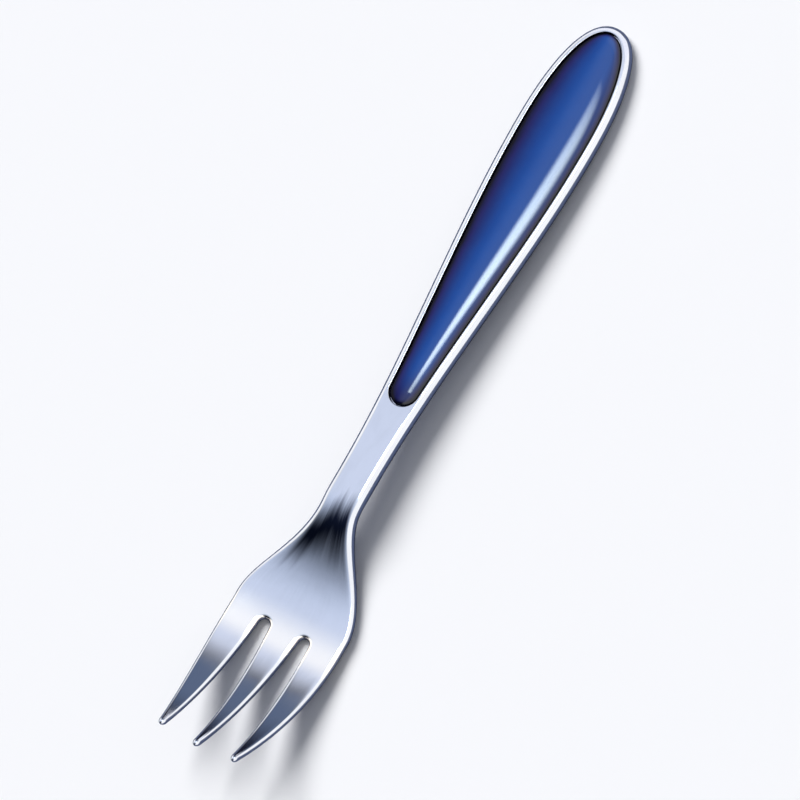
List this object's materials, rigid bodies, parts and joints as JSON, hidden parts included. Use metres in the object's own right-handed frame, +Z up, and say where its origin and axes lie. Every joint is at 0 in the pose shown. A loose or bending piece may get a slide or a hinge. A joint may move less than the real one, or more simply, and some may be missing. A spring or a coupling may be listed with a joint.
{
  "type": "dessert fork",
  "caption": "Small table fork of polished steel with short tapered tines, a dished head, a slim neck and a teardrop handle that holds a domed glossy blue inlay.",
  "frame": {"origin": "middle of the underside, on the surface that the fork lies on", "axes": "+X along the fork towards the tine tips, +Y across it, +Z up out of the hollow of the head"},
  "size_m": [0.1496, 0.0238, 0.013],
  "materials": {
    "polished_steel": "polished with a faint lengthwise grain",
    "blue_acrylic": "high gloss, tinted through",
    "bond": "cured adhesive"
  },
  "bodies": {
    "root": {"fork_body": "polished_steel", "handle_inlay": "blue_acrylic", "inlay_adhesive": "bond"}
  },
  "joints": []
}
